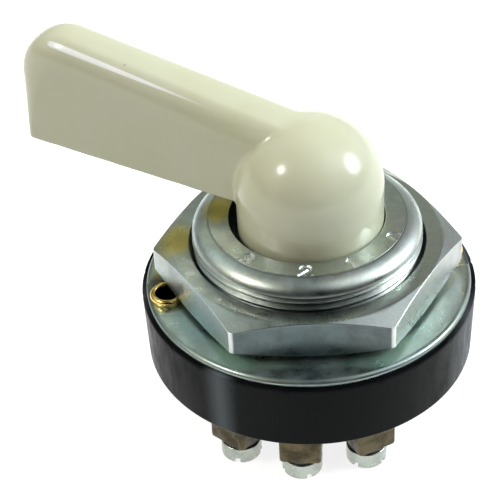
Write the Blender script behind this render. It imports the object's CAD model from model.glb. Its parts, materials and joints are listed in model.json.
"""Panel-mounted rotary battery switch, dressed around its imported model.

A moulded lever on a domed hub, a threaded stem with a stamped dial, a hexagonal nut, a pressed
cover plate with two tubular rivets, a black moulded housing, and four brass terminals with screws.
"""

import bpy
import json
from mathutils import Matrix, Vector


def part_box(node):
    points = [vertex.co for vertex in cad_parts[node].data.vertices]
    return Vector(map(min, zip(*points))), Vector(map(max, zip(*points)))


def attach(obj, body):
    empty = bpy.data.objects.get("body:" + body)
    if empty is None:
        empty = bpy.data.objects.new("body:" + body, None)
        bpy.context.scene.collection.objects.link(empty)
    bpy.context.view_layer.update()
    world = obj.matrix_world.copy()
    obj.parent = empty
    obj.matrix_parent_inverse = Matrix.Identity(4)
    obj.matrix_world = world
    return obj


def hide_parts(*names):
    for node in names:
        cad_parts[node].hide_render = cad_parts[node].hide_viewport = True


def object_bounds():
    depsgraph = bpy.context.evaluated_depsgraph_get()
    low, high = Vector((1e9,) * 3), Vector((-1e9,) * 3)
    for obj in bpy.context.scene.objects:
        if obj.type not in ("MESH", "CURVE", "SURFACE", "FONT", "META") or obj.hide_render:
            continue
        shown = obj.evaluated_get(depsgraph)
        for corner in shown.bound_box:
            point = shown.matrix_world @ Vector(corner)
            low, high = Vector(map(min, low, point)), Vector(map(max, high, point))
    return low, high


bl_info = {
    "name": "Battery Switch Finishes",
    "version": (1, 0, 0),
    "blender": (4, 5, 0),
    "location": "View3D > Sidebar > Switch",
    "description": "Makes the visible pieces and the finishes of a rotary battery switch",
    "category": "Add Mesh",
}

import json
import math

import bmesh
import bpy
import numpy as np
from bpy.props import FloatProperty, FloatVectorProperty, PointerProperty
from bpy.types import Operator, Panel, PropertyGroup
from mathutils import Matrix, Vector

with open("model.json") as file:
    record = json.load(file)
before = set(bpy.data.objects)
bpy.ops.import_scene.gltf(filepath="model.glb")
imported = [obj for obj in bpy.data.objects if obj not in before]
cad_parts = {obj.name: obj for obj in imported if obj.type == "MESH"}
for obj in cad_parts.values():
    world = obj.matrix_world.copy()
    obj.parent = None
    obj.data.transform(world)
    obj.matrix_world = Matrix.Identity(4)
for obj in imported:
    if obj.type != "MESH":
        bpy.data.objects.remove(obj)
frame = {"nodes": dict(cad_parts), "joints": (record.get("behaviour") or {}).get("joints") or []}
cad_box = [list(corner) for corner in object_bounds()]

MM = 0.001


# ---- Places taken from the frame, in millimetres ----

def corners(node):
    """Lowest and highest corner of a CAD node."""
    low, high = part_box(node)
    return np.array(low) / MM, np.array(high) / MM


def middle(node):
    """Centre of a CAD node's box."""
    low, high = corners(node)
    return (low + high) / 2


def bearing(node):
    """Direction of a CAD node's middle about the spindle, in radians."""
    x, y, _ = middle(node)
    return math.atan2(y, x)


def turned(points, angle):
    """Points turned about the spindle by an angle."""
    c, s = math.cos(angle), math.sin(angle)
    return points @ np.array([[c, s, 0], [-s, c, 0], [0, 0, 1]])


def node_points(node, angle=0.0):
    """A CAD node's points, turned back about the spindle by an angle."""
    mesh = frame["nodes"][node].data
    flat = np.zeros(len(mesh.vertices) * 3)
    mesh.vertices.foreach_get("co", flat)
    return turned(flat.reshape(-1, 3) / MM, -angle)


LEVER_JOINT = next(joint for joint in frame["joints"] if joint["name"] == "lever_turn")
STEP = math.radians(LEVER_JOINT["range_deg"][1] / 3)
FRONT = bearing("terminal_screw_2")
OFF = FRONT + 2 * STEP
LEVER_WAY = OFF + math.pi
TERMINALS = ("1", "2", "3", "common")

STEM_LOW, STEM_HIGH = corners("threaded_bushing")
NUT_LOW, NUT_HIGH = corners("hex_nut")
PLATE_LOW, PLATE_HIGH = corners("cover_plate")
HOUSING_LOW, HOUSING_HIGH = corners("housing")
RIVET_LOW, RIVET_HIGH = corners("rivet_right")
RIVET_X = float((RIVET_LOW[0] + RIVET_HIGH[0]) / 2)
RIVET_HOLE, TERMINAL_HOLE = 2.3, 2.02
LEVER_POINTS = node_points("lever_handle", LEVER_WAY)
FLOOR_Z = cad_box[0][2] / MM


# ---- Shares and directions ----

def ease(share):
    """Smooth step from 0 to 1: three times the square less twice the cube."""
    return share * share * (3 - 2 * share)


def fading(distance, reach=1.0):
    """Share that falls evenly from 1 at no distance to 0 at the reach."""
    return np.clip(1 - distance / reach, 0, 1)


def angle_from(turn, place, whole=2 * math.pi):
    """Signed angle from a place to a direction, where the places repeat after a whole."""
    return (turn - place + whole / 2) % whole - whole / 2


def patch(radius, turn, at_radius, at_deg, reach_radius, reach_deg):
    """Share of a soft patch, 1 at a place on the face and 0 beyond its reach."""
    away = np.degrees(angle_from(turn, math.radians(at_deg)))
    return ease(np.clip(1.6 - 1.6 * np.hypot((radius - at_radius) / reach_radius, away / reach_deg), 0, 1))


def even_turns(count):
    """Directions all round, evenly spread."""
    return np.arange(count) * 2 * math.pi / count


def refined_turns(coarse_deg, fine_deg, reach_deg, places):
    """Directions all round, finer within reach of each place, as a single row."""
    near = np.radians(np.arange(-reach_deg, reach_deg + fine_deg / 2, fine_deg))
    turns = np.concatenate([np.radians(np.arange(0, 360, coarse_deg))] + [place + near for place in places])
    every = np.sort(np.mod(turns, 2 * math.pi))
    apart = np.diff(every, append=every[0] + 2 * math.pi) > math.radians(fine_deg / 2)
    return every[apart][None, :]


# ---- Profiles and meshes ----

def straight(start, end, count):
    """Points of a straight profile stretch, its last point left out."""
    share = np.arange(count)[:, None] / count
    return np.array(start, float) * (1 - share) + np.array(end, float) * share


def arc(centre, radius, start_deg, end_deg, count):
    """Points of an arc, both ends included. The radius is a number, or one for each way."""
    a = np.radians(np.linspace(start_deg, end_deg, count))
    return np.array(centre) + np.stack([np.cos(a), np.sin(a)], -1) * radius


def path(*stretches):
    """One profile made of stretches, each an array of points."""
    return np.concatenate([np.atleast_2d(np.array(stretch, float)) for stretch in stretches])


def revolved(radius, height, turn, x=0.0, y=0.0):
    """Points at a radius and a height about an upright axis, for each direction in turn."""
    radius, height, turn = np.broadcast_arrays(radius, height, turn)
    return np.stack([x + radius * np.cos(turn), y + radius * np.sin(turn), height], -1).reshape(-1, 3)


def rounded_outline(half_x, half_y, radius, count=64):
    """Points round a rectangle with rounded corners.

    Each point is the centre of its quarter's corner, plus the corner's radius in the point's direction.
    """
    a = even_turns(count) + math.pi / count
    return np.stack([np.sign(np.cos(a)) * (half_x - radius) + radius * np.cos(a),
                     np.sign(np.sin(a)) * (half_y - radius) + radius * np.sin(a)], -1)


def grid_faces(rows, cols, wrap_rows=False):
    """Quads between neighbouring points of a grid stored row after row, closed along each row."""
    i, j = np.meshgrid(np.arange(rows if wrap_rows else rows - 1), np.arange(cols), indexing="ij")
    i2, j2 = (i + 1) % rows, (j + 1) % cols
    return np.stack([i * cols + j, i * cols + j2, i2 * cols + j2, i2 * cols + j], -1).reshape(-1, 4).tolist()


def capped_faces(rows, cols):
    """Quads of an open grid, and one face on each of its two ends."""
    last = (rows - 1) * cols
    return grid_faces(rows, cols) + [list(range(cols)), list(range(last, last + cols))]


def add_mesh(name, points, faces, values):
    """A mesh of points in millimetres. values holds one number a point, by name."""
    mesh = bpy.data.meshes.new(name)
    mesh.from_pydata((np.asarray(points) * MM).tolist(), [], faces)
    for key, numbers in values.items():
        mesh.attributes.new(key, "FLOAT", "POINT").data.foreach_set("value", np.ravel(numbers))
    return mesh


def add_object(mesh, material, body, stands_for):
    """Shows a mesh with its material, and says which body, CAD nodes and slot it belongs to."""
    mesh.materials.append(material)
    piece = bpy.data.objects.new(mesh.name, mesh)
    bpy.context.scene.collection.objects.link(piece)
    if body:
        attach(piece, body)
    if stands_for:
        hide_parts(*stands_for)
    return piece


def add_piece(name, points, faces, material=None, body=None, stands_for=(), slot=None, sharp=35, **values):
    """Makes a closed, smoothly shaded piece with edges sharp beyond an angle in degrees."""
    mesh = add_mesh(name, points, faces, values)
    work = bmesh.new()
    work.from_mesh(mesh)
    bmesh.ops.remove_doubles(work, verts=work.verts, dist=1e-7)
    bmesh.ops.recalc_face_normals(work, faces=work.faces)
    if work.calc_volume(signed=True) < 0:
        bmesh.ops.reverse_faces(work, faces=work.faces)
    work.to_mesh(mesh)
    work.free()
    mesh.shade_smooth()
    mesh.set_sharp_from_angle(angle=math.radians(sharp))
    return add_object(mesh, material, body, stands_for)


def add_round(name, radius, height, turn, *options, x=0.0, **more):
    """Makes a piece whose closed profile is carried round an upright axis."""
    faces = grid_faces(len(radius), turn.size, True)
    return add_piece(name, revolved(radius, height, turn, x), faces, *options, **more)


def drilled(piece, cutters):
    """Cuts the cutter objects out of a piece for good, and removes them."""
    for cutter in cutters:
        cut = piece.modifiers.new("Cut", "BOOLEAN")
        cut.operation = "DIFFERENCE"
        cut.solver = "EXACT"
        cut.object = cutter
    view = bpy.context.evaluated_depsgraph_get()
    view.update()
    whole = bpy.data.meshes.new_from_object(piece.evaluated_get(view))
    old = piece.data
    piece.modifiers.clear()
    piece.data = whole
    bpy.data.meshes.remove(old)
    whole.name = piece.name
    for cutter in cutters:
        bpy.data.objects.remove(cutter)
    whole.set_sharp_from_angle(angle=math.radians(35))


def rod(x, y, radius, low, high, count=48):
    """Upright cutter of round section."""
    profile = path([0, low], [radius, low], [radius, high], [0, high])
    points = revolved(profile[:, :1], profile[:, 1:], even_turns(count)[None, :], x, y)
    return add_piece("hole", points, grid_faces(len(profile), count))


def rivet_rods(low, high):
    """Cutters for the two rivets' holes."""
    return [rod(side * RIVET_X, 0, RIVET_HOLE, low, high) for side in (-1, 1)]


def slab(x, y, angle, length, width, low, high):
    """Cutter for a slot: a bar turned about an upright axis."""
    flat = np.array([[-length, -width, 0], [length, -width, 0], [length, width, 0], [-length, width, 0]]) / 2
    flat = turned(flat, angle) + np.array([x, y, 0])
    points = np.concatenate([flat + np.array([0, 0, z]) for z in (low, high)])
    return add_piece("slot", points, capped_faces(2, 4))


# ---- Surfaces given by a distance function ----

def rounded_overlap(a, b, radius):
    """Distance to what two solids share, with the edge between them rounded."""
    corner = np.hypot(np.maximum(a + radius, 0), np.maximum(b + radius, 0)) - radius
    return np.where((a + radius > 0) & (b + radius > 0), corner, np.maximum(a, b))


def blended_union(a, b, width):
    """Distance to two solids together, with a soft fillet where they meet."""
    share = np.clip(0.5 + 0.5 * (b - a) / width, 0, 1)
    return b * (1 - share) + a * share - width * share * (1 - share)


def steepest(distance, points, nudge):
    """Slope of a distance function at points, from its values a nudge to either side."""
    return np.stack([(distance(points + nudge * way) - distance(points - nudge * way)) / (2 * nudge)
                     for way in np.eye(3)], -1)


def surface_where_zero(distance, low, high, step):
    """Closed mesh of the surface where a distance function is zero.

    Each cell of a regular grid that the surface crosses gets one point, the mean of its crossings
    on the cell's edges. Each crossed edge joins its four cells in a quad. The points then move
    along the function's slope until they lie on the surface.
    """
    axes = [np.arange(a, b, step) for a, b in zip(low, high)]
    grid = np.stack(np.meshgrid(*axes, indexing="ij"), -1)
    value = distance(grid)
    cells = tuple(n - 1 for n in value.shape)
    total, count = np.zeros(cells + (3,)), np.zeros(cells)
    crossings = []
    for axis in range(3):
        near = np.take(value, range(cells[axis]), axis)
        far = np.take(value, range(1, cells[axis] + 1), axis)
        crossed = (near < 0) != (far < 0)
        place = np.take(grid, range(cells[axis]), axis).copy()
        place[..., axis] += np.where(crossed, near / np.where(crossed, near - far, 1), 0) * step
        place[~crossed] = 0
        sides = [other for other in range(3) if other != axis]
        crossings.append((sides, crossed, (near < 0) == (axis == 1)))
        for first, second in np.ndindex(2, 2):
            pick = [slice(None)] * 3
            pick[sides[0]] = slice(first, first + cells[sides[0]])
            pick[sides[1]] = slice(second, second + cells[sides[1]])
            total += place[tuple(pick)]
            count += crossed[tuple(pick)]
    used = count > 0
    number = np.full(cells, -1)
    number[used] = np.arange(np.count_nonzero(used))
    points = total[used] / count[used][:, None]
    faces = []
    for sides, crossed, flip in crossings:
        at = np.stack(np.nonzero(crossed), -1)
        beside = at[:, sides]
        at = at[((beside > 0) & (beside < np.array(cells)[sides])).all(1)]
        around = []
        for back in ((1, 1), (0, 1), (0, 0), (1, 0)):
            cell = at.copy()
            cell[:, sides] -= back
            around.append(number[tuple(cell.T)])
        quads = np.stack(around, -1)
        flipped = flip[tuple(at.T)]
        quads[flipped] = quads[flipped][:, ::-1]
        faces.append(quads)
    for _ in range(6):
        slope = steepest(distance, points, step * 0.01)
        steep = np.maximum((slope ** 2).sum(-1), 0.2)
        points = points - (distance(points) / steep)[:, None] * slope
    return points, np.concatenate(faces).tolist()


# ---- Node trees ----

def add_node(tree, kind, inputs=None, **settings):
    """Adds a node. Each input is a value to set or another node's output to link."""
    made = tree.nodes.new(kind)
    for key, value in settings.items():
        setattr(made, key, value)
    for key, value in (inputs or {}).items():
        if isinstance(value, bpy.types.NodeSocket):
            tree.links.new(value, made.inputs[key])
        else:
            made.inputs[key].default_value = value
    return made


def computed(tree, operation, first, second, **settings):
    """Number computed from two, each a value or an output."""
    return add_node(tree, "ShaderNodeMath", {0: first, 1: second}, operation=operation, **settings).outputs[0]


def combined(tree, operation, first, second=(0, 0, 0), result=0, **inputs):
    """Result of a vector operation on two vectors, each a value or an output."""
    made = add_node(tree, "ShaderNodeVectorMath", {0: first, 1: second, **inputs}, operation=operation)
    return made.outputs[result]


def attribute(tree, name):
    """A mesh attribute's number."""
    return add_node(tree, "ShaderNodeAttribute", attribute_name=name).outputs["Fac"]


def noise(tree, place, scale, detail=3.0, roughness=0.55, stretch=None):
    """Noise of a number of waves a metre on Object coordinates."""
    if stretch:
        place = add_node(tree, "ShaderNodeMapping", {"Vector": place, "Scale": stretch}).outputs[0]
    inputs = {"Vector": place, "Scale": scale, "Detail": detail, "Roughness": roughness}
    return add_node(tree, "ShaderNodeTexNoise", inputs).outputs["Fac"]


def specks(tree, place, scale):
    """Distance to the nearest of scattered points, in cells."""
    return add_node(tree, "ShaderNodeTexVoronoi", {"Vector": place, "Scale": scale}).outputs["Distance"]


def ramp(tree, value, low, high, to_low=0.0, to_high=1.0):
    """Maps a range of values smoothly to another."""
    inputs = {"Value": value, "From Min": low, "From Max": high, "To Min": to_low, "To Max": to_high}
    return add_node(tree, "ShaderNodeMapRange", inputs, interpolation_type="SMOOTHSTEP").outputs["Result"]


def mixed(tree, share, first, second, blend="MIX"):
    """Colour mixed from two, each a colour or an output."""
    made = add_node(tree, "ShaderNodeMix", data_type="RGBA", blend_type=blend)
    for key, value in ((0, share), (6, first), (7, second)):
        if isinstance(value, bpy.types.NodeSocket):
            tree.links.new(value, made.inputs[key])
        else:
            made.inputs[key].default_value = (*value, 1) if key else value
    return made.outputs[2]


def bumped(tree, shader, height, distance, strength, under=None):
    """Adds a bump of a distance in metres, on top of another bump if one is given."""
    inputs = {"Height": height, "Distance": distance, "Strength": strength}
    if under:
        inputs["Normal"] = under
    made = add_node(tree, "ShaderNodeBump", inputs)
    tree.links.new(made.outputs["Normal"], shader.inputs["Normal"])
    return made.outputs["Normal"]


def turned_lines(tree, place, lines_per_metre):
    """Fine concentric lines left by a lathe: noise along the distance from the spindle."""
    flat = combined(tree, "MULTIPLY", place, (1, 1, 0))
    around = add_node(tree, "ShaderNodeCombineXYZ", {"X": combined(tree, "LENGTH", flat, result="Value")})
    return noise(tree, around.outputs[0], lines_per_metre, 2.0, 0.5)


def line_distance(tree, place, start, end):
    """Distance from the line through two points, and how far along it, both in metres.

    The way along is the dot product with the line's direction; what is left of the vector from
    the start, once that is taken away, is the distance.
    """
    start, end = Vector(start) * MM, Vector(end) * MM
    way = (end - start).normalized()
    reach = combined(tree, "SUBTRACT", place, start)
    along = combined(tree, "DOT_PRODUCT", reach, way, "Value")
    rest = combined(tree, "SUBTRACT", reach, combined(tree, "SCALE", way, Scale=along))
    return combined(tree, "LENGTH", rest, result="Value"), along


# ---- Materials ----

def new_material(name, color, metallic=0.0, roughness=0.4, **sockets):
    """A Principled material and its tree, shader and Object coordinates."""
    material = bpy.data.materials.new(name)
    material.use_nodes = True
    tree = material.node_tree
    shader = tree.nodes["Principled BSDF"]
    sockets.update(Base_Color=(*color, 1), Metallic=metallic, Roughness=roughness)
    for key, value in sockets.items():
        shader.inputs[key.replace("_", " ")].default_value = value
    return material, tree, shader, add_node(tree, "ShaderNodeTexCoord").outputs["Object"]


def dimmed(color, share):
    """A colour times a share, which is one number or three."""
    return tuple(float(c) for c in np.array(color) * share)


def ivory_material(color, edge_start, edge_end):
    """Ivory thermoset: glossy, faintly mottled, with a few dark specks and one edge worn bright.

    The attribute soil darkens a point. The worn edge follows a line in metres, and narrows and
    fades along it.
    """
    material, tree, shader, place = new_material(
        "ivory_moulding", color, roughness=0.2, Specular_IOR_Level=0.5, Subsurface_Weight=0.06,
        Subsurface_Radius=(1.0, 0.8, 0.5), Subsurface_Scale=0.001)
    cloud = ramp(tree, noise(tree, place, 60, 4), 0.35, 0.7)
    warm = mixed(tree, cloud, color, dimmed(color, (0.96, 0.96, 0.90)))
    dots = computed(tree, "MULTIPLY", ramp(tree, specks(tree, place, 260), 0.10, 0.05),
                    ramp(tree, noise(tree, place, 90, 1), 0.60, 0.66, 0.0, 0.4))
    spotted = mixed(tree, dots, warm, (0.20, 0.17, 0.11))
    soiled = mixed(tree, attribute(tree, "soil"), spotted, (0.30, 0.25, 0.16))
    far, along = line_distance(tree, place, edge_start, edge_end)
    width = ramp(tree, along, -0.001, 0.034, 0.00058, 0.00016)
    worn = ramp(tree, computed(tree, "DIVIDE", far, width), 1.15, 0.75)
    for start, full in ((-0.0012, -0.0002), (0.034, 0.018)):
        worn = computed(tree, "MULTIPLY", worn, ramp(tree, along, start, full))
    tree.links.new(mixed(tree, worn, soiled, (1.0, 1.0, 0.96)), shader.inputs["Base Color"])
    tree.links.new(ramp(tree, noise(tree, place, 220, 3), 0.3, 0.8, 0.15, 0.26), shader.inputs["Roughness"])
    bumped(tree, shader, noise(tree, place, 420, 2), 0.00001, 0.25)
    return material


def zinc_material(name, color, roughness, lines=0.0, tint=0.3, mottle=1.0):
    """Bright zinc plating: clouded gloss, pale rainbow tints, small pits and bright worn edges.

    The attribute stain turns a point yellow, grime darkens it, and wear brightens it.
    """
    material, tree, shader, place = new_material(name, color, metallic=1.0, roughness=roughness)
    cloud = noise(tree, place, 230, 5, 0.65)
    hue = add_node(tree, "ShaderNodeValToRGB", {"Fac": noise(tree, place, 55, 3)})
    band = hue.color_ramp.elements
    band[0].position, band[1].position = 0.30, 0.72
    band[0].color, band[1].color = (0.52, 0.70, 0.80, 1), (0.82, 0.70, 0.68, 1)
    band.new(0.44).color = (0.62, 0.72, 0.62, 1)
    band.new(0.58).color = (0.76, 0.74, 0.55, 1)
    plated = mixed(tree, tint, color, hue.outputs["Color"])
    clouded = mixed(tree, ramp(tree, cloud, 0.40, 0.66, 0.0, 0.5 * mottle), plated, dimmed(color, 0.68))
    frost = ramp(tree, noise(tree, place, 1500, 3, 0.8), 0.56, 0.72, 0.0, 0.5 * mottle)
    frosted = mixed(tree, frost, clouded, (0.86, 0.88, 0.86))
    few = ramp(tree, noise(tree, place, 160, 2), 0.62, 0.74, 0.0, 0.6 * mottle ** 2)
    pitted = computed(tree, "MULTIPLY", ramp(tree, specks(tree, place, 900), 0.18, 0.08), few)
    colored = mixed(tree, pitted, frosted, (0.20, 0.21, 0.20))
    for key, shade in (("stain", (0.95, 0.82, 0.26)), ("grime", (0.035, 0.045, 0.04)),
                       ("wear", (0.95, 0.96, 0.95))):
        colored = mixed(tree, attribute(tree, key), colored, shade)
    tree.links.new(colored, shader.inputs["Base Color"])
    rough = ramp(tree, cloud, 0.3, 0.75, roughness * 0.8, roughness * 1.45)
    tree.links.new(rough, shader.inputs["Roughness"])
    grain = bumped(tree, shader, noise(tree, place, 1400, 3, 0.7), 0.000012, 0.4)
    grain = bumped(tree, shader, noise(tree, place, 420, 3, 0.6), 0.00003 * mottle, 0.5, grain)
    if lines:
        grain = bumped(tree, shader, turned_lines(tree, place, 5200), 0.00001, lines, grain)
    bumped(tree, shader, pitted, -0.00003, 0.6, grain)
    return material


def nut_material(color):
    """Zinc plating of the nut, darkened on its flats by the attribute flat where it isn't worn."""
    material = zinc_material("nut_plating", color, 0.29, 0.35)
    tree = material.node_tree
    base = tree.nodes["Principled BSDF"].inputs["Base Color"]
    bare = computed(tree, "SUBTRACT", attribute(tree, "flat"), attribute(tree, "wear"), use_clamp=True)
    dark = mixed(tree, bare, (1, 1, 1), (0.17, 0.19, 0.20))
    tree.links.new(mixed(tree, 1.0, base.links[0].from_socket, dark, "MULTIPLY"), base)
    return material


def black_material(color):
    """Black phenolic moulding: satin, faintly dusty, scuffed, and rubbed where the attribute bloom says."""
    material, tree, shader, place = new_material("black_moulding", color, roughness=0.3,
                                                 Specular_IOR_Level=0.06)
    dusty = mixed(tree, ramp(tree, noise(tree, place, 80, 5, 0.65), 0.42, 0.75, 0, 0.6), color,
                  (0.005, 0.0055, 0.006))
    rubbed = mixed(tree, attribute(tree, "bloom"), dusty, (0.12, 0.135, 0.15))
    tree.links.new(rubbed, shader.inputs["Base Color"])
    scuff = noise(tree, place, 500, 4, 0.7, (1, 1, 0.25))
    tree.links.new(ramp(tree, scuff, 0.35, 0.7, 0.26, 0.46), shader.inputs["Roughness"])
    bumped(tree, shader, noise(tree, place, 900, 3, 0.6), 0.00001, 0.3)
    return material


def brass_material(name, color, tarnish, roughness, amount):
    """Brass with clouds of tarnish and fine scratches, dark where the attribute grime says."""
    material, tree, shader, place = new_material(name, color, metallic=1.0, roughness=roughness)
    cloud = ramp(tree, noise(tree, place, 300, 5, 0.65), 0.38, 0.68)
    clouded = mixed(tree, computed(tree, "MULTIPLY", cloud, amount), color, tarnish)
    tree.links.new(mixed(tree, attribute(tree, "grime"), clouded, (0.006, 0.005, 0.004)),
                   shader.inputs["Base Color"])
    tree.links.new(ramp(tree, cloud, 0, 1, roughness * 0.85, roughness * 1.35), shader.inputs["Roughness"])
    bumped(tree, shader, noise(tree, place, 700, 3, 0.6, (1, 1, 0.12)), 0.00002, 0.35)
    return material


def plain_material(name, color, metallic, roughness):
    """Plain finish: lightly clouded, with a fine grain."""
    material, tree, shader, place = new_material(name, color, metallic=metallic, roughness=roughness)
    clouded = mixed(tree, ramp(tree, noise(tree, place, 240, 3), 0.3, 0.7, 0, 0.5), color, dimmed(color, 0.7))
    tree.links.new(clouded, shader.inputs["Base Color"])
    bumped(tree, shader, noise(tree, place, 1200, 2), 0.00001, 0.3)
    return material


# ---- Settings ----

def number(name, description, default, **limits):
    """A number that the panel shows."""
    return FloatProperty(name=name, description=description, default=default, **limits)


def paint(name, description, default):
    """A colour that the panel shows."""
    return FloatVectorProperty(name=name, description=description, default=default, subtype="COLOR",
                               min=0, max=1)


class LeverSettings(PropertyGroup):
    """Sizes of the lever, in millimetres, and its colour."""

    hub_radius: number("Hub radius", "Radius of the domed hub", 13.0, min=5)
    dome_height: number("Dome height", "Height of the dome's centre above the plate",
                        float(LEVER_POINTS[:, 2].min()) + 12.8)
    root_width: number("Root width", "Width of the blade at the axis", 12.0)
    end_width: number("End width", "Width of the blade at its end", 10.6)
    crown_radius: number("Crown radius", "Radius of the blade's crowned top", 10.0)
    edge_radius: number("Edge radius", "Rounding of the blade's upper edges", 3.4)
    foot_radius: number("Foot radius", "Rounding of the blade's end at its foot", 1.2)
    corner_radius: number("Corner radius", "Rounding of the blade's upper corner", 8.9)
    draft: number("Draft", "How far the end's foot is set back", 1.0)
    wall: number("Wall", "Wall of the moulding", 2.2)
    fillet: number("Fillet", "Width of the blend between blade and hub", 0.7)
    hub_along: number("Hub offset along", "Offset of the hub along the blade", -0.78)
    hub_across: number("Hub offset across", "Offset of the hub across the blade", 0.1)
    color: paint("Colour", "Colour of the ivory moulding", (0.66, 0.655, 0.485))


class StemSettings(PropertyGroup):
    """Sizes of the threaded stem and its dial, in millimetres, and the plating's colour."""

    bore_radius: number("Bore", "Radius of the opening around the hub", 13.9)
    shoulder: number("Shoulder", "Radius of the rounded shoulder", 2.4)
    crest: number("Crest", "How far the thread's crests stand out", 0.55)
    pitch: number("Pitch", "Pitch of the fine thread", 1.6)
    thread_depth: number("Thread depth", "Depth of the thread", 0.75)
    numeral_radius: number("Numeral radius", "Radius of the ring of numerals", 16.15)
    numeral_height: number("Numeral height", "Height of the stamped numerals", 3.0)
    numeral_depth: number("Numeral depth", "Depth of the stamped numerals", 0.28)
    color: paint("Colour", "Colour of the zinc plating", (0.60, 0.67, 0.67))


class NutSettings(PropertyGroup):
    """Sizes of the hexagonal nut, in millimetres."""

    flat_radius: number("Flat radius", "Distance from the axis to a flat", 24.15)
    corner_round: number("Corner rounding", "Rounding of the worn corners", 1.0)
    top_slope: number("Top chamfer", "Slope of the upper chamfer, in degrees", 24.0)
    base_slope: number("Base chamfer", "Slope of the lower chamfer, in degrees", 17.0)
    edge: number("Edge", "Softness of the edges", 0.15)


class PlateSettings(PropertyGroup):
    """Sizes of the pressed cover plate, in millimetres, and its colour."""

    pad_depth: number("Pad depth", "Depth of the sunk pads", 0.4)
    pad_width: number("Pad width", "Width of the sunk pads", 9.0)
    edge_radius: number("Edge radius", "Rounding of the pressed rim", 0.9)
    color: paint("Colour", "Colour of the plated sheet", (0.67, 0.82, 0.80))


class BodySettings(PropertyGroup):
    """Colours of the housing, rivets, terminals and screws."""

    housing: paint("Housing", "Colour of the black moulding", (0.0015, 0.002, 0.0025))
    rivet: paint("Rivets", "Colour of the brass rivets", (0.86, 0.62, 0.22))
    terminal: paint("Terminals", "Colour of the brass terminals", (0.115, 0.096, 0.052))
    screw: paint("Screws", "Colour of the plated screws", (0.37, 0.41, 0.39))


class StageSettings(PropertyGroup):
    """Place of the camera, and the floor's colour and glow."""

    camera_turn: number("Camera turn", "Direction of the camera from the front", math.radians(-12.3),
                        subtype="ANGLE")
    camera_height: number("Camera elevation", "Elevation of the camera", math.radians(38.01), subtype="ANGLE")
    camera_distance: number("Camera distance", "Distance of the camera", 0.3056, unit="LENGTH")
    floor_color: paint("Floor", "Colour of the floor", (0.52, 0.52, 0.51))
    floor_glow: number("Floor glow", "Strength of the floor's own light where it is seen", 0.82, min=0)


SETTINGS = {"switch_lever": LeverSettings, "switch_stem": StemSettings, "switch_nut": NutSettings,
            "switch_plate": PlateSettings, "switch_body": BodySettings, "switch_stage": StageSettings}


# ---- Lever ----

TOP_SLOPE = 0.185
BLADE_HEIGHT = 16.0
FOOT_DROP = 3.1
BOSS_RADIUS, SOCKET_HALF, SOCKET_DEPTH = 8.0, 3.55, 9.9
GRUB_RADIUS, GRUB_HEIGHT = 2.05, 8.5
GRID_STEP = 0.36

# Ends of the edge that is worn bright, with the blade along +X
WORN_EDGE = ((47.2, 3.85, 39.75), (17.7, 4.1, 34.5))


def lever_distance(s):
    """Distance to the lever's moulding, with the blade along +X.

    The hub is a cylinder under a half sphere, a little off the spindle's axis. The blade lies
    between two slightly tapered sides, under a sloping top whose far corner is an arc, and above a
    lower edge that rises gently. Its rim is crowned: a point at the depth d under the rim's middle
    line and at the width y has the distance (hypot(1 + k d, k y) - 1) / k, where the curvature k
    fades out down the end. Its edges are rounded, less so towards the foot. A narrow fillet joins
    hub and blade. The blade is hollow from below, a ring-shaped hollow leaves a boss with a square
    socket in the hub, and a hole for the grub screw goes in from the side.
    """
    reach, low_z, high_z = LEVER_POINTS[:, 0].max(), LEVER_POINTS[:, 2].min(), LEVER_POINTS[:, 2].max()
    tip_z = LEVER_POINTS[LEVER_POINTS[:, 0] > reach - 1, 2].min() + 0.2
    root_z = tip_z - FOOT_DROP
    arc_x = reach - s.corner_radius
    top_z = high_z - TOP_SLOPE * arc_x
    tilt = math.hypot(1, TOP_SLOPE)
    arc_z = high_z - s.corner_radius * tilt
    skirt = s.hub_radius - s.wall

    def distance(p):
        x, y, z = p[..., 0], p[..., 1], p[..., 2]
        hub_x, hub_y = x - s.hub_along, y - s.hub_across
        out = np.hypot(hub_x, hub_y)
        dome = np.hypot(out, z - s.dome_height)
        hub = rounded_overlap(np.where(z > s.dome_height, dome, out) - s.hub_radius, low_z - z, 0.5)
        side = np.abs(y) - (s.root_width + (s.end_width - s.root_width) * x / reach) / 2
        top = (z - top_z - TOP_SLOPE * x) / tilt
        dx, dz = x - arc_x, z - arc_z
        low = np.clip(-dz / (arc_z - tip_z), 0, 1)
        rim = np.where((dz > 0) & (dx > -TOP_SLOPE * dz), np.hypot(dx, dz) - s.corner_radius,
                       np.maximum(top, x - reach + s.draft * low))
        curve = 1 / s.crown_radius + (0.01 - 1 / s.crown_radius) * low
        crown = (np.hypot(np.maximum(1 + curve * rim, 0), curve * y) - 1) / curve
        under = root_z + FOOT_DROP * x / reach - z
        rise = ease(np.clip(-under / BLADE_HEIGHT, 0, 1))
        edge = s.foot_radius + (s.edge_radius - s.foot_radius) * rise
        blade = np.maximum(rounded_overlap(rounded_overlap(side, crown, edge), under, 0.35), -x)
        solid = blended_union(hub, blade, s.fillet)
        hollow = rounded_overlap(side + s.wall, rim + s.wall, 1.0)
        hollow = rounded_overlap(hollow, s.hub_radius - 0.4 - x, 0.6)
        ring = np.abs(out - (skirt + BOSS_RADIUS) / 2) - (skirt - BOSS_RADIUS) / 2
        ring = np.maximum(ring, z - s.dome_height)
        grub = np.hypot(x, z - low_z - GRUB_HEIGHT) - GRUB_RADIUS
        pad = np.maximum(grub - 1.4, np.maximum(y, -y - s.hub_radius + 0.6))
        square = np.maximum(np.maximum(np.abs(x), np.abs(y)) - SOCKET_HALF, z - low_z - SOCKET_DEPTH)
        for cut in (hollow, np.maximum(ring, -pad), square, np.maximum(grub, y)):
            solid = rounded_overlap(solid, -cut, 0.3)
        return solid

    return distance


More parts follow.
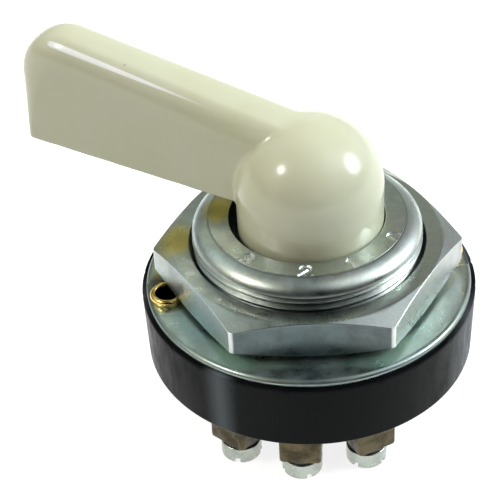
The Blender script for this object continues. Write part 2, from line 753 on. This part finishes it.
def hub_soil(points, s):
    """Share of a soft brown patch low on the hub's front, for points with the blade along +X."""
    x, y, _ = turned(points, LEVER_WAY).T
    outside = np.hypot(points[:, 0] - s.hub_along, points[:, 1] - s.hub_across) > s.hub_radius - 0.3
    away = angle_from(np.arctan2(y, x), FRONT + 0.05)
    far = np.hypot(away / 0.55, (points[:, 2] - LEVER_POINTS[:, 2].min() - 7.5) / 5.5)
    return fading(far) ** 1.5 * 0.6 * outside


class SWITCH_OT_lever(Operator):
    """Moulded lever: domed hub and rising blade in one piece"""

    bl_idname = "switch.lever"
    bl_label = "Lever"

    def execute(self, context):
        s = context.scene.switch_lever
        distance = lever_distance(s)
        low, high = LEVER_POINTS.min(0) - 1.03, LEVER_POINTS.max(0) + 1.03
        points, faces = surface_where_zero(distance, low, high, GRID_STEP)
        slope = steepest(distance, points, 0.02)
        slope /= np.linalg.norm(slope, axis=1)[:, None]
        mesh = add_mesh("lever_moulding", turned(points, LEVER_WAY), faces, {"soil": hub_soil(points, s)})
        mesh.shade_smooth()
        mesh.normals_split_custom_set_from_vertices(turned(slope, LEVER_WAY).tolist())
        material = ivory_material(tuple(s.color), *turned(np.array(WORN_EDGE), LEVER_WAY))
        add_object(mesh, material, "lever", ["lever_handle"])
        return {"FINISHED"}


# ---- Stem and dial ----

NUMERAL_STROKE = 0.115

# How far each numeral was stamped aside and outwards from its place
STAMPED = ((0.0, 0.8), (-0.5, 0.0), (1.0, 0.0), (0.0, 0.0))


def numeral_strokes(digit):
    """Centre line of a numeral one high, as points about its middle."""
    strokes = {
        0: [arc([0, 0], [0.27, 0.42], 0, 360, 40)],
        1: [np.linspace([0.04, -0.42], [0.04, 0.42], 30), np.linspace([0.04, 0.42], [-0.14, 0.28], 12)],
        2: [arc([0, 0.17], 0.25, 165, -20, 40), np.linspace([0.235, 0.085], [-0.27, -0.42], 30),
            np.linspace([-0.27, -0.42], [0.28, -0.42], 30)],
        3: [arc([-0.02, 0.20], [0.24, 0.22], 150, -90, 40), arc([-0.02, -0.20], [0.27, 0.22], 90, -150, 40)],
    }
    return path(*strokes[digit])


def stamped_depth(radius, turn, s):
    """Depth of the stamped numerals, from 0 to 1, on the dial's face.

    Around each numeral the face is unrolled to a flat sheet, its upright towards the hub. The depth
    falls off across the edge of a stroke, at a distance from the nearest point of its centre line.
    """
    radius, turn = np.broadcast_arrays(radius, turn)
    depth = np.zeros(radius.shape)
    for digit, (aside, outward) in enumerate(STAMPED):
        u = (angle_from(turn, OFF - digit * STEP) * s.numeral_radius - aside) / s.numeral_height
        v = (s.numeral_radius + outward - radius) / s.numeral_height
        near = (np.abs(u) < 0.5) & (np.abs(v) < 0.62)
        strokes = numeral_strokes(digit)
        far = np.hypot(u[near][:, None] - strokes[:, 0], v[near][:, None] - strokes[:, 1]).min(1)
        depth[near] = np.clip((NUMERAL_STROKE - far) / 0.05 + 0.5, 0, 1)
    return ease(depth)


def thread_groove(height, turn, top, s):
    """Depth of the thread's groove below its crests.

    A triangle wave of the height in pitches, less the direction as a share of a turn, winds the
    groove round the stem. The wave's lower part is cut off for the crests, and the groove fades
    out at the thread's foot and top.
    """
    wave = np.abs(np.mod(height / s.pitch - turn / (2 * math.pi), 1) * 2 - 1)
    fade = np.clip(height / 0.5, 0, 1) * np.clip((top + 0.02 - height) / 0.35, 0, 1)
    return np.clip(wave * 1.35 - 0.22, 0, 1) * s.thread_depth * fade


class SWITCH_OT_stem(Operator):
    """Threaded stem with its stamped dial"""

    bl_idname = "switch.stem"
    bl_label = "Stem and dial"

    def execute(self, context):
        s = context.scene.switch_stem
        outer, top, bore = STEM_HIGH[0] + s.crest, STEM_HIGH[2], s.bore_radius
        face, step = STEM_HIGH[0] - s.shoulder, top - 0.15
        thread_top = step - s.shoulder
        collar, rim_z, stake_z = STEM_HIGH[0] - 3, PLATE_LOW[2], STEM_LOW[2]
        inner, web_z, stake, lip = 5.05, 5.0, collar - 1, collar + 1.5
        shoulder = arc([0, 0], 1, 66, 4, 16)
        shoulder = (shoulder - shoulder[0]) * (outer - face, s.shoulder) / np.abs(shoulder[-1] - shoulder[0])
        rows = path(
            straight([inner, rim_z], [inner, web_z], 3), straight([inner, web_z], [bore, web_z], 4),
            straight([bore, web_z], [bore, top - 0.25], 6), arc([bore + 0.25, top - 0.25], 0.25, 180, 90, 6),
            straight([bore + 0.3, top], [face - 0.12, top], 46), arc([face - 0.12, top - 0.1], 0.1, 90, 0, 4),
            [face, step], shoulder + [face, step],
            straight([outer, thread_top - 0.1], [outer, 0], 96), straight([outer, 0], [collar, 0], 3),
            straight([collar, 0], [collar, rim_z], 3), straight([collar, rim_z], [lip, rim_z], 2),
            straight([lip, rim_z], [lip, stake_z], 2), straight([lip, stake_z], [stake, stake_z], 3),
            straight([stake, stake_z], [stake, rim_z], 2), straight([stake, rim_z], [inner, rim_z], 4))
        radius, height = rows[:, :1], rows[:, 1:]
        turn = refined_turns(1.2, 0.25, 4.6, [OFF - i * STEP for i in range(4)])
        on_thread = (np.abs(radius - outer) < 1e-6) & (height > 0) & (height <= thread_top)
        groove = thread_groove(height, turn, thread_top, s) * on_thread
        radius = radius - groove
        depth = stamped_depth(radius, turn, s) * (height > top - 0.01) * (radius > bore + 0.26)
        height = height - s.numeral_depth * depth
        dirty = np.exp(-((angle_from(turn, FRONT) - 0.1) / 0.78) ** 4)
        below = np.clip((step - 0.25 * s.shoulder - height) / (0.6 * s.shoulder), 0, 1) * (radius > face)
        grime = np.maximum.reduce([
            np.clip(groove / s.thread_depth * 1.6 - 0.5, 0, 0.75),
            0.9 * (radius < bore + 0.1),
            below * (0.28 + 0.57 * dirty),
            0.55 * (np.abs(radius - face + 0.03) < 0.13) * (height > step - 0.2)])
        plating = zinc_material("stem_plating", tuple(s.color), 0.32, 0.5, 0.4, 1.3)
        add_round("stem", radius, height, turn, plating, "base", ["threaded_bushing"], "zinc_plating", 40,
                  wear=np.maximum(fading(groove, 0.12) * 0.2 * on_thread, depth * 0.75), grime=grime,
                  stain=patch(radius, turn, 15.8, 160, 3.4, 19) * (height > top - 1) * 0.9)
        return {"FINISHED"}


# ---- Nut ----

SIXTH = math.pi / 3

# How dark each of the nut's flats is, at directions in degrees from its first corner
FLAT_SHADE = ([0, 119, 121, 179, 181, 239, 241, 299, 301, 360],
              [0.4, 0.4, 0.4, 0.4, 1.0, 1.0, 0.3, 0.3, 0.4, 0.4])


def hexagon_radius(turn, flat, rounding):
    """Radius of a hexagon in a direction, with corners at turn = 0 and on.

    On a flat it is the flat's distance over the cosine of the angle from the flat's middle. Near a
    corner it is the far crossing of the direction with an arc about the corner's centre.
    """
    away = angle_from(turn, 0, SIXTH)
    centre = (flat - rounding) / math.cos(SIXTH / 2)
    reach = math.atan2(rounding / 2, centre + rounding * math.cos(SIXTH / 2))
    on_arc = centre * np.cos(away) + np.sqrt(np.maximum(rounding ** 2 - (centre * np.sin(away)) ** 2, 0))
    return np.where(np.abs(away) < reach, on_arc, flat / np.cos(SIXTH / 2 - np.abs(away)))


def chamfer(beyond, slope):
    """Height that a cone of a slope in degrees takes off, this far beyond its start."""
    return np.maximum(beyond, 0) * math.tan(math.radians(slope))


class SWITCH_OT_nut(Operator):
    """Hexagonal nut, chamfered above and below"""

    bl_idname = "switch.nut"
    bl_label = "Nut"

    def execute(self, context):
        s = context.scene.switch_nut
        low, high, flat, soft = NUT_LOW[2], NUT_HIGH[2], s.flat_radius, s.edge
        x, y, _ = node_points("hex_nut").T
        corner_points = np.hypot(x, y) > np.hypot(x, y).max() - 0.02
        first = float(np.mean(np.mod(np.arctan2(y, x)[corner_points], SIXTH)))
        turn = refined_turns(1.0, 0.15, 4.0, [first + k * SIXTH for k in range(6)])
        outer = hexagon_radius(turn - first, flat, s.corner_round)
        bore, lead = STEM_HIGH[0] + context.scene.switch_stem.crest + 0.05, 0.65
        rim, start = bore + lead, flat - 0.25
        inner = path([rim, low], [bore, low + lead], straight([bore, low + lead], [bore, high - lead], 4),
                     [bore, high - lead], straight([bore, high - lead], [rim, high - 0.04], 4),
                     [rim, high - 0.04], [rim + 0.06, high], straight([rim + 0.1, high], [start, high], 5))
        rows = [(r + 0 * turn, z + 0 * turn) for r, z in inner]
        upper = high - chamfer(outer - flat, s.top_slope)
        lower = low + chamfer(outer - flat, s.base_slope)

        def slope_row(t, z, slope, side):
            r = start + (outer - soft - start) * t
            return r, z - side * chamfer(r - flat + 0.12, slope)

        def edge_row(a, z, side):
            return outer - soft * (1 - math.sin(a)), z - side * soft * (1 - math.cos(a)) * 0.9

        rows += [slope_row(t, high, s.top_slope, 1) for t in np.linspace(0, 1, 10)]
        rows += [edge_row(a, upper, 1) for a in np.radians((25, 50, 75))]
        rows += [(outer, (upper - soft) * (1 - t) + (lower + soft) * t) for t in np.linspace(0, 1, 16)]
        rows += [edge_row(a, lower, -1) for a in np.radians((75, 50, 25))]
        rows += [slope_row(t, low, s.base_slope, -1) for t in np.linspace(1, 0, 8)]
        radius, height = (np.concatenate([row[part] for row in rows]) for part in (0, 1))
        corner = fading(np.abs(angle_from(turn, first, SIXTH)) - math.radians(0.7), math.radians(0.5))
        worn_rim = fading(np.abs(radius - outer + soft / 2), 0.35) * 0.05
        worn_rim = worn_rim * (np.minimum(np.abs(height - upper), np.abs(height - lower)) < 0.3)
        lip = fading(np.abs(radius - rim - 0.2), 0.35) * (height > high - 0.3) * 0.15
        shade = np.interp(np.degrees(turn - first) % 360, *FLAT_SHADE)
        shadow = np.exp(-(angle_from(turn, FRONT) / 0.6) ** 2 - (np.maximum(radius - rim, 0) / 1.3) ** 2)
        add_round("nut", radius, height, turn, nut_material(tuple(context.scene.switch_stem.color)), "nut",
                  ["hex_nut"], "zinc_plating", 30,
                  wear=np.maximum.reduce([corner * (radius > outer - soft) * 0.45, worn_rim, lip]),
                  flat=shade * np.clip((radius - outer + soft) / soft, 0, 1),
                  grime=np.maximum(0.85 * ((radius < rim) & (height < high - 0.05)),
                                   0.55 * shadow * (height > high - 1)),
                  stain=patch(radius, turn, 23.4, 168, 4.6, 14) * (height > high - 2) * 0.85)
        return {"FINISHED"}


# ---- Cover plate and rivets ----

def pad_distance(x, y, half):
    """Distance to the outline of a sunk pad: a round end at the rivet, open towards the rim."""
    x = np.abs(x)
    return np.where(x < RIVET_X, np.hypot(x - RIVET_X, y), np.abs(y)) - half


def rim_ripple(turn):
    """Unevenness of the pressed rim: the sum of three sine waves round the plate."""
    return 0.05 * np.sin(7 * turn + 1.3) + 0.04 * np.sin(13 * turn) + 0.03 * np.sin(23 * turn + 0.6)


class SWITCH_OT_plate(Operator):
    """Pressed cover plate with a rolled rim and two sunk pads"""

    bl_idname = "switch.plate"
    bl_label = "Cover plate"

    def execute(self, context):
        s = context.scene.switch_plate
        inner, outer, low, roll = STEM_HIGH[0] - 2.98, PLATE_HIGH[0], PLATE_LOW[2], s.edge_radius
        rows = path(straight([inner, low], [inner, 0], 2), straight([inner, 0], [outer - roll, 0], 64),
                    arc([outer - roll, -roll], roll, 90, 0, 12), [outer, low + 0.12],
                    arc([outer - 0.12, low + 0.12], 0.12, 0, -90, 4),
                    straight([outer - 0.2, low], [inner, low], 6))
        turn = refined_turns(1.0, 0.4, 17, [0.0, math.pi])
        radius, height = rows[:, :1] + 0 * turn, rows[:, 1:] + 0 * turn
        inside = pad_distance(radius * np.cos(turn), radius * np.sin(turn), s.pad_width / 2)
        inside = ease(np.clip(0.5 - inside / 0.45, 0, 1))
        above = np.clip((height - low) / (-roll - low), 0, 1)
        height = height + (np.minimum(height, -s.pad_depth) - height) * inside
        height = height + rim_ripple(turn) * np.clip((radius - outer + 1.2) / 1.2, 0, 1) * above * 0.6
        rim = np.clip((radius - outer + roll * 1.1) / (roll * 0.6), 0, 1) * 0.6
        tarnish = patch(radius, turn, RIVET_X + 0.8, 173, 3.6, 10) * 0.75 * (height > low + 0.1)
        piece = add_round("cover_plate_pressed", radius, height, turn,
                          zinc_material("sheet_plating", tuple(s.color), 0.32, 0.2, 0.45),
                          "base", ["cover_plate"], "zinc_sheet", 40, grime=np.maximum(rim, tarnish),
                          stain=patch(radius, turn, RIVET_X - 0.5, 168, 3.6, 13) * 0.8)
        drilled(piece, rivet_rods(low - 2, 2))
        return {"FINISHED"}


class SWITCH_OT_rivets(Operator):
    """Two tubular rivets, rolled over at both ends"""

    bl_idname = "switch.rivets"
    bl_label = "Rivets"

    def execute(self, context):
        color = tuple(context.scene.switch_body.rivet)
        material = brass_material("rivet_brass", color, (0.42, 0.27, 0.10), 0.2, 0.5)
        low, high = RIVET_LOW[2], RIVET_HIGH[2]
        bore, wall, head = 2.0, 2.4, float(RIVET_HIGH[0] - RIVET_LOW[0]) / 2
        half, tall = (head - bore) / 2, 0.75
        roll = arc([bore + half, high - tall], [half, tall], 180, -62, 21)
        foot = roll[::-1] * [1, -1] + [0, high + low]
        rows = path(straight([bore, low + 0.8], [bore, high - 0.8], 6), roll, [wall, roll[-1, 1]],
                    [wall, foot[0, 1]], foot)
        radius, turn = rows[:, :1], even_turns(96)[None, :]
        inside = np.clip((bore + 0.25 - radius) / 0.2, 0, 1) * 0.97 + 0 * turn
        for side, name in ((-1, "left"), (1, "right")):
            wobble = 1 + 0.012 * np.sin(3 * turn + side) * (radius > wall)
            add_round("rivet_rolled_" + name, radius * wobble, rows[:, 1:], turn, material, "base",
                      ["rivet_" + name], "rivet_brass", 50, x=side * RIVET_X, grime=inside)
        return {"FINISHED"}


# ---- Housing ----

CAVITY_WALL, CAVITY_FLOOR = 5.9, 4.0
PILOT_RADIUS, PILOT_DEPTH = 2.95, 1.7
BOSS_ROUND = 4.4

# Rubbed, dusty stretches of the housing's wall: place, half width and strength, in radians from the front
BLOOM = ((-0.46, 0.13, 0.9), (-1.35, 0.3, 0.45), (1.3, 0.35, 0.5), (2.0, 0.4, 0.6), (3.0, 0.3, 0.5))


def cavity_radius(turn, cavity):
    """Radius of the cavity's wall: round, and bulging inwards round each rivet.

    The bulge is where a ray from the spindle first meets a circle about the rivet: the rivet's
    distance times the cosine, less the root of the circle's radius squared minus the rivet's
    distance times the sine, squared.
    """
    aside = RIVET_X * np.sin(turn)
    bulge = RIVET_X * np.abs(np.cos(turn)) - np.sqrt(np.maximum(BOSS_ROUND ** 2 - aside ** 2, 0))
    return np.where(np.abs(aside) < BOSS_ROUND, np.minimum(cavity, bulge), cavity)


class SWITCH_OT_housing(Operator):
    """Round black moulding, hollow, slightly narrower at its foot"""

    bl_idname = "switch.housing"
    bl_label = "Housing"

    def execute(self, context):
        outer, foot = HOUSING_HIGH[0], HOUSING_HIGH[0] - 0.4
        low, high = HOUSING_LOW[2], HOUSING_HIGH[2]
        floor_z, pilot, pilot_z = low + CAVITY_FLOOR, PILOT_RADIUS, low + PILOT_DEPTH
        turn = refined_turns(1.0, 0.4, 12, [0.0, math.pi])
        wall = cavity_radius(turn, outer - CAVITY_WALL)
        rows = path([outer - 0.2, high], [outer - 0.06, high - 0.06],
                    np.linspace([outer, high - 0.2], [foot, low + 0.6], 24),
                    arc([foot - 0.5, low + 0.5], 0.5, -8, -90, 8),
                    np.linspace([foot - 1, low], [pilot, low], 12),
                    [pilot, pilot_z], [0.8 * pilot, pilot_z], [0.8 * pilot, pilot_z + 0.05],
                    [pilot, pilot_z + 0.05], [pilot, floor_z], [pilot + 4, floor_z], [pilot + 10, floor_z])
        level = 0 * turn
        radius = np.concatenate([rows[:, :1] + level, wall, wall, wall + (outer - 1 - wall) * 0.5])
        height = np.concatenate([rows[:, 1:] + level, level + floor_z, level + high, level + high])
        chips = np.clip(np.sin(41 * turn + 2) * np.sin(17 * turn) - 0.55, 0, 1) * 0.5
        radius = radius - chips * fading(high - height, 0.5) * (radius > outer - 0.4)
        bloom = sum(fading(np.abs(angle_from(turn, FRONT + at)), wide) * much for at, wide, much in BLOOM)
        bloom = ease(bloom) * np.clip((radius - foot + 0.5) / 0.5, 0, 1)
        piece = add_round("housing_moulding", radius, height, turn,
                          black_material(tuple(context.scene.switch_body.housing)), "base", ["housing"],
                          "black_moulding", bloom=bloom)
        holes = [middle("terminal_" + name)[:2] for name in TERMINALS]
        drilled(piece, rivet_rods(low - 2, high + 2)
                + [rod(x, y, TERMINAL_HOLE, low - 2, floor_z + 2) for x, y in holes])
        return {"FINISHED"}


# ---- Terminals ----

SHANK_RADIUS = 2.0
SLOT_WIDTH, SLOT_DEPTH, SLOT_TURN = 1.1, 1.3, 27
WASHER_TURNS, WASHER_COUNT = 97, 24


class SWITCH_OT_terminals(Operator):
    """Four brass terminals with their screws and split washers"""

    bl_idname = "switch.terminals"
    bl_label = "Terminals"

    def execute(self, context):
        body = context.scene.switch_body
        brass = brass_material("terminal_brass", tuple(body.terminal), (0.045, 0.037, 0.023), 0.42, 0.8)
        nickel = zinc_material("screw_nickel", tuple(body.screw), 0.2, 0.0, 0.25)
        steel = plain_material("washer_steel", (0.08, 0.08, 0.08), 1.0, 0.35)
        for order, name in enumerate(TERMINALS):
            self.block(name, brass)
            self.screw(name, nickel)
            self.washer(name, order, steel)
        return {"FINISHED"}

    def block(self, name, material):
        """Square post with soft edges, and its shank through the housing's floor."""
        way = bearing("terminal_" + name)
        points = node_points("terminal_" + name, way)
        (half_x, half_y, _), (mid_x, _, _) = np.ptp(points, 0) / 2, (points.min(0) + points.max(0)) / 2
        low, high, top = points[:, 2].min(), points[:, 2].max(), HOUSING_LOW[2] + 0.8
        count, edge = 64, 0.45
        stack = [(rounded_outline(half_x, half_y, 0.5, count) * 0.02, low)]
        for a in np.radians((0, 22.5, 45, 67.5, 90)):
            inset = edge * (1 - math.sin(a))
            ring = rounded_outline(half_x - inset, half_y - inset, 0.6, count)
            stack.append((ring, low + edge * (1 - math.cos(a))))
        shank = rounded_outline(SHANK_RADIUS, SHANK_RADIUS, SHANK_RADIUS, count)
        stack += [(stack[-1][0], top), (shank, top), (shank, high), (shank * 0.02, high)]
        points = np.concatenate([np.insert(ring + [mid_x, 0], 2, z, 1) for ring, z in stack])
        piece = add_piece("terminal_post_" + name, turned(points, way), capped_faces(len(stack), count),
                          material, "base", ["terminal_" + name], "terminal_brass")
        x, y, _ = middle("terminal_screw_" + name)
        drilled(piece, [rod(x, y, TERMINAL_HOLE, low - 2, top - 2)])

    def screw(self, name, material):
        """Cheese-head screw with crossed slots."""
        node = "terminal_screw_" + name
        low, high = corners(node)
        x, y, _ = middle(node)
        head, bottom, end, shank = (high[0] - low[0]) / 2, low[2], high[2], SHANK_RADIUS
        top = corners("lock_washer_" + name)[0][2]
        rows = path(straight([0.02, bottom], [head - 0.5, bottom], 10),
                    arc([head - 0.5, bottom + 0.5], 0.5, -90, 0, 8),
                    straight([head, bottom + 0.6], [head, top - 0.25], 4),
                    arc([head - 0.25, top - 0.25], 0.25, 0, 90, 4),
                    [shank, top], [shank, end - 0.3], [shank - 0.3, end], [0.02, end])
        points = revolved(rows[:, :1], rows[:, 1:], even_turns(96)[None, :], x, y)
        piece = add_piece("screw_" + name, points, capped_faces(len(rows), 96), material, "base", [node],
                          "screw_nickel")
        drilled(piece, [slab(x, y, bearing(node) + math.radians(SLOT_TURN + extra), 2 * head + 2, SLOT_WIDTH,
                             bottom - 1, bottom + SLOT_DEPTH) for extra in (0, 90)])

    def washer(self, name, order, material):
        """Split washer: a rounded rectangle carried round its ring, with a gap at its own place."""
        node = "lock_washer_" + name
        low, high = corners(node)
        x, y, _ = middle("terminal_screw_" + name)
        screw_low, screw_high = corners("terminal_screw_" + name)
        outer, inner = (screw_high[0] - screw_low[0]) / 2 - 0.3, 2.1
        gap = 0.48 / outer
        start = bearing(node) + math.radians(60 + 40 * order)
        turn = np.linspace(start + gap, start + 2 * math.pi - gap, WASHER_TURNS)[:, None]
        section = rounded_outline((outer - inner) / 2, (high[2] - low[2]) / 2, 0.18, WASHER_COUNT)
        section = section + [(outer + inner) / 2, (low[2] + high[2]) / 2]
        points = revolved(section[:, 0], section[:, 1], turn, x, y)
        add_piece("split_washer_" + name, points, capped_faces(WASHER_TURNS, WASHER_COUNT), material, "base",
                  [node], "spring_steel")


# ---- Enclosed pieces ----

# Finish, colour, metallic, roughness, and the CAD nodes that carry it
ENCLOSED = (
    ("spindle_steel", (0.50, 0.51, 0.52), 1.0, 0.25, ("spindle",)),
    ("blued_steel", (0.10, 0.10, 0.12), 1.0, 0.35, ("lever_grub_screw",)),
    ("clip_steel", (0.40, 0.41, 0.42), 1.0, 0.3, ("retaining_clip", "wave_washer", "index_ring")),
    ("seal_rubber", (0.02, 0.02, 0.02), 0.0, 0.6, ("spindle_seal",)),
    ("brown_laminate", (0.10, 0.045, 0.02), 0.0, 0.45, ("rotor", "insulating_disc")),
    ("ball_steel", (0.62, 0.63, 0.64), 1.0, 0.12, ("index_ball_a", "index_ball_b")),
    ("spring_wire", (0.45, 0.45, 0.46), 1.0, 0.3, ("index_spring_a", "index_spring_b", "contact_spring")),
    ("contact_copper", (0.72, 0.36, 0.20), 1.0, 0.3,
     ("contact_bridge", "common_ring", "fixed_contact_1", "fixed_contact_2", "fixed_contact_3")),
)


class SWITCH_OT_enclosed(Operator):
    """Finishes of the pieces inside the switch"""

    bl_idname = "switch.enclosed"
    bl_label = "Enclosed pieces"

    def execute(self, context):
        for name, color, metallic, roughness, nodes in ENCLOSED:
            material = plain_material(name, color, metallic, roughness)
            for node in nodes:
                mesh = frame["nodes"][node].data
                mesh.materials.clear()
                mesh.materials.append(material)
        return {"FINISHED"}


# ---- Stage ----

LENS = 121.91235
AIM = (0, 0, 6.1545)
YAW, PITCH, ROLL = -1.94, -0.12, -1.39
FLOOR_RADIUS = 2500.0

# Soft patches of light around the switch: turn from the front, height in degrees, and colour
SOFT_LIGHTS = ((-69, 36, (1.55, 1.46, 1.2)), (76, 52, (1.75, 1.87, 1.95)), (120, 12, (1.0, 1.05, 1.15)),
               (180, 12, (0.85, 0.88, 0.75)), (-120, 42, (0.62, 0.74, 0.72)))

# Lamps: turn from the front, height in degrees, distance, size, watts, colour, and whether gloss shows it
LAMPS = {
    "left_lamp": (-65, 44, 0.6, 0.12, 0.8, (1.0, 0.99, 0.97), True),
    "right_lamp": (93, 29.5, 0.7, 0.3, 3.4, (0.87, 0.97, 1.0), True),
    "top_lamp": (170, 70, 0.8, 0.5, 2.2, (1.0, 0.98, 1.0), False),
}


def toward(turn, height):
    """Unit vector at a turn and a height in degrees."""
    a, e = math.radians(turn), math.radians(height)
    return Vector((math.cos(e) * math.cos(a), math.cos(e) * math.sin(a), math.sin(e)))


def area_lamp(name, turn, height, distance, size, watts, color, glossy):
    """Round soft lamp about the switch, aimed at it."""
    data = bpy.data.lights.new(name, "AREA")
    data.shape = "DISK"
    data.size = size
    data.energy = watts
    data.color = color
    lamp = bpy.data.objects.new(name, data)
    lamp.visible_glossy = glossy
    lamp.location = toward(turn, height) * distance
    lamp.rotation_euler = (-lamp.location).to_track_quat("-Z", "Y").to_euler()
    bpy.context.scene.collection.objects.link(lamp)


def leaned(first, second, degrees):
    """Two directions at right angles, turned in their plane, the first towards the second."""
    a = math.radians(degrees)
    return first * math.cos(a) + second * math.sin(a), second * math.cos(a) - first * math.sin(a)


def aim_camera(turn, height, distance):
    """Camera at a turn and height about the switch's middle, with small turns of its own."""
    aim = Vector(AIM) * MM
    back = Vector((math.sin(turn) * math.cos(height), -math.cos(turn) * math.cos(height), math.sin(height)))
    forward, right = -back, Vector((math.cos(turn), math.sin(turn), 0))
    up = right.cross(forward)
    forward, right = leaned(forward, right, YAW)
    forward, up = leaned(forward, up, PITCH)
    right, up = leaned(right, up, ROLL)
    data = bpy.data.cameras.new("camera")
    data.lens = LENS
    data.clip_start = 0.01
    camera = bpy.data.objects.new("camera", data)
    facing = Matrix((right, up, -forward)).transposed().to_4x4()
    camera.matrix_world = Matrix.Translation(aim + back * distance) @ facing
    bpy.context.scene.collection.objects.link(camera)
    bpy.context.scene.camera = camera


class SWITCH_OT_stage(Operator):
    """Camera, lamps, floor and surroundings"""

    bl_idname = "switch.stage"
    bl_label = "Stage"

    def execute(self, context):
        s = context.scene.switch_stage
        aim_camera(s.camera_turn, s.camera_height, s.camera_distance)
        front = math.degrees(s.camera_turn) - 90
        for name, (turn, *rest) in LAMPS.items():
            area_lamp(name, front + turn, *rest)
        world = bpy.data.worlds.new("surroundings")
        world.use_nodes = True
        self.surround(world.node_tree, front)
        context.scene.world = world
        context.scene.view_settings.view_transform = "Standard"
        self.floor(s)
        return {"FINISHED"}

    def surround(self, tree, front):
        """Soft patches of light: each is its colour times the 12th power of the cosine of the way to it."""
        way = add_node(tree, "ShaderNodeTexCoord").outputs["Generated"]
        light = (0.0, 0.0, 0.0)
        for turn, height, color in SOFT_LIGHTS:
            cosine = combined(tree, "DOT_PRODUCT", way, toward(front + turn, height), "Value")
            share = computed(tree, "POWER", computed(tree, "MAXIMUM", cosine, 0.0), 12.0)
            light = combined(tree, "ADD", light, combined(tree, "SCALE", color, Scale=share))
        tree.links.new(light, tree.nodes["Background"].inputs["Color"])
        tree.nodes["Background"].inputs["Strength"].default_value = 1.0

    def floor(self, s):
        """Round floor, pale and matt, that glows white to the camera and in gloss, and keeps its shadow."""
        material, tree, shader, _ = new_material("floor_finish", tuple(s.floor_color), roughness=0.9,
                                                 Specular_IOR_Level=0.1, Emission_Color=(1, 1, 1, 1))
        rays = add_node(tree, "ShaderNodeLightPath").outputs
        seen = rays["Is Camera Ray"]
        for kind in ("Is Glossy Ray", "Is Transmission Ray"):
            seen = computed(tree, "MAXIMUM", seen, rays[kind])
        tree.links.new(computed(tree, "MULTIPLY", seen, s.floor_glow), shader.inputs["Emission Strength"])
        points = revolved(np.array([[FLOOR_RADIUS], [0.1]]), FLOOR_Z, even_turns(64)[None, :])
        add_piece("floor", points, grid_faces(2, 64) + [list(range(64, 128))], material)


class SWITCH_PT_panel(Panel):
    """Lists the pieces of the switch and their settings"""

    bl_label = "Battery Switch"
    bl_idname = "SWITCH_PT_panel"
    bl_space_type = "VIEW_3D"
    bl_region_type = "UI"
    bl_category = "Switch"

    def draw(self, context):
        for operator in OPERATORS:
            self.layout.operator(operator.bl_idname)
        for key, group in SETTINGS.items():
            box = self.layout.box()
            for field in group.__annotations__:
                box.prop(getattr(context.scene, key), field)


OPERATORS = (SWITCH_OT_stage, SWITCH_OT_lever, SWITCH_OT_stem, SWITCH_OT_nut, SWITCH_OT_plate,
             SWITCH_OT_rivets, SWITCH_OT_housing, SWITCH_OT_terminals, SWITCH_OT_enclosed)


def register():
    for kind in (*SETTINGS.values(), *OPERATORS, SWITCH_PT_panel):
        bpy.utils.register_class(kind)
    for key, group in SETTINGS.items():
        setattr(bpy.types.Scene, key, PointerProperty(type=group))


def unregister():
    for key in SETTINGS:
        delattr(bpy.types.Scene, key)
    for kind in (SWITCH_PT_panel, *OPERATORS[::-1], *SETTINGS.values()):
        bpy.utils.unregister_class(kind)


def main():
    register()
    for piece in ("stage", "lever", "stem", "nut", "plate", "rivets", "housing", "terminals", "enclosed"):
        getattr(bpy.ops.switch, piece)()


if __name__ == "__main__":
    main()
